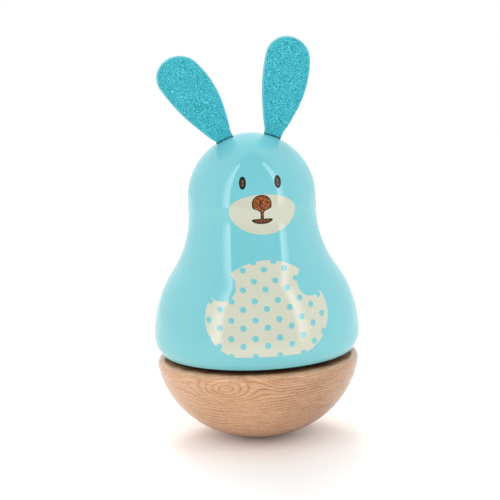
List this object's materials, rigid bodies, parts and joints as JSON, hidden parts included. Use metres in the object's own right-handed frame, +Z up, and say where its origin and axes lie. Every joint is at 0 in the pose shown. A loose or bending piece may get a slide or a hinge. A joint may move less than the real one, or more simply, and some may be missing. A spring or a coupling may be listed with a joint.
{
  "type": "wind-up rabbit music box",
  "caption": "Turned wooden rabbit with felt ears on a rounded rocking base; twisting the rabbit winds a pinned-cylinder music movement, and it turns back as it plays.",
  "frame": {"origin": "on the floor under the turning axis, at the middle of the flat foot", "axes": "+Z up along the turning axis, the rabbit's face looks along -Y at rest"},
  "size_m": [0.1012, 0.1012, 0.1965],
  "materials": {
    "beech": "oiled",
    "lacquered_wood": "gloss lacquer",
    "plywood": "sanded",
    "felt": "felt",
    "cast_iron": "raw",
    "steel": "bright",
    "spring_steel": "blued",
    "brass": "bright",
    "zinc": "plated",
    "lead": "dull",
    "nylon": "matte"
  },
  "bodies": {
    "base": {"rocker_base": "beech", "ballast_weight": "cast_iron", "ballast_screw": "steel", "base_cover": "plywood", "base_cover_screws": "steel", "drive_flange": "steel", "drive_flange_screws": "steel", "grub_screw": "steel", "thrust_washer": "nylon", "winding_arbor": "steel", "ratchet_wheel": "brass", "great_wheel": "brass", "click": "steel", "click_pin": "steel", "click_spring": "spring_steel", "arbor_clip": "spring_steel"},
    "rabbit": {"rabbit_body": "lacquered_wood", "ear_left": "felt", "ear_right": "felt", "bottom_plate": "plywood", "bottom_plate_screws": "steel", "bedplate": "zinc", "movement_screws": "steel", "arbor_bush": "brass", "spring_drum": "zinc", "drum_screws": "steel", "mainspring": "spring_steel", "cylinder_bracket_left": "steel", "cylinder_bracket_right": "steel", "bracket_screws": "steel", "comb": "steel", "comb_weights": "lead", "comb_screws": "steel", "governor_bracket": "zinc", "governor_screws": "steel"},
    "cylinder": {"note_cylinder": "brass", "cylinder_arbor": "steel", "cylinder_pinion": "brass", "cylinder_gear": "brass"},
    "governor_wheel": {"governor_arbor": "steel", "governor_pinion": "brass", "worm_wheel": "nylon"},
    "fly": {"worm": "steel", "fly_vane": "nylon"}
  },
  "joints": [
    {"name": "body_turn", "type": "hinge", "parent": "base", "child": "rabbit", "pos_m": [0, 0, 0.0435], "axis": [0, 0, 1], "range_deg": [-1530, 0], "stiffness_Nm_per_rad": 0.0006},
    {"name": "cylinder_turn", "type": "hinge", "parent": "rabbit", "child": "cylinder", "pos_m": [0.027, 0, 0.05735], "axis": [1, 0, 0], "range_deg": [-1, 6886]},
    {"name": "governor_turn", "type": "hinge", "parent": "rabbit", "child": "governor_wheel", "pos_m": [0.0175, 0.009, 0.05735], "axis": [1, 0, 0], "range_deg": [-21282, 1]},
    {"name": "fly_turn", "type": "hinge", "parent": "rabbit", "child": "fly", "pos_m": [0.0157, 0.0156, 0.05735], "axis": [0, 0, 1], "range_deg": [-1, 425619]}
  ],
  "couplings": [
    {"joint": "cylinder_turn", "follows": "body_turn", "ratio": -4.5},
    {"joint": "governor_turn", "follows": "body_turn", "ratio": 13.909},
    {"joint": "fly_turn", "follows": "body_turn", "ratio": -278.18}
  ]
}
